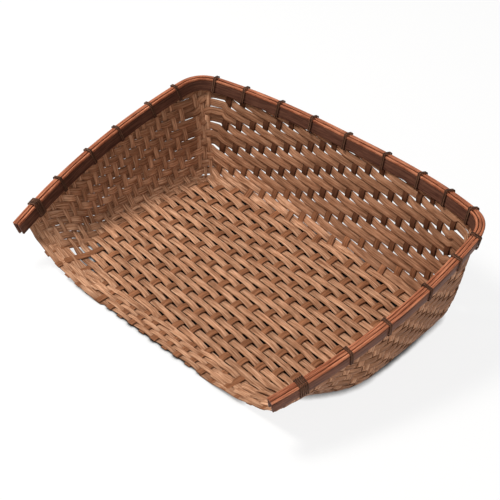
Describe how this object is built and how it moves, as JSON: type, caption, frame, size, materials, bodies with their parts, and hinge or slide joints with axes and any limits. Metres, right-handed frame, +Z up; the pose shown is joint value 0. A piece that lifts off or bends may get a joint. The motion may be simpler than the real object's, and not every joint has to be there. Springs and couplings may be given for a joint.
{
  "type": "square winnowing basket",
  "caption": "Shallow square tray woven from split bamboo, with three raised walls, an open front lip and a lashed double rim, for tossing grain.",
  "frame": {"origin": "on the flat underside of the floor, on the mirror plane between the two side walls", "axes": "+Z up, -Y towards the open front lip, +X to the right hand side as seen from the lip"},
  "size_m": [0.4469, 0.3208, 0.1246],
  "materials": {
    "woven_bamboo": "satin",
    "rim_band": "satin",
    "rim_cane": "satin",
    "tie_strip": "matte"
  },
  "bodies": {
    "root": {"woven_mat": "woven_bamboo", "inner_rim_band": "rim_band", "outer_rim_band": "rim_band", "rim_cane_1": "rim_cane", "rim_cane_2": "rim_cane", "rim_cane_3": "rim_cane", "lashing_left_front": "tie_strip", "tie_left_1": "tie_strip", "tie_left_2": "tie_strip", "tie_left_3": "tie_strip", "tie_left_4": "tie_strip", "tie_left_5": "tie_strip", "tie_back_1": "tie_strip", "tie_back_2": "tie_strip", "tie_back_3": "tie_strip", "tie_back_4": "tie_strip", "tie_back_5": "tie_strip", "tie_back_6": "tie_strip", "tie_back_7": "tie_strip", "tie_back_8": "tie_strip", "tie_back_9": "tie_strip", "tie_right_1": "tie_strip", "tie_right_2": "tie_strip", "tie_right_3": "tie_strip", "tie_right_4": "tie_strip", "tie_right_5": "tie_strip", "lashing_right_front": "tie_strip"}
  },
  "joints": []
}
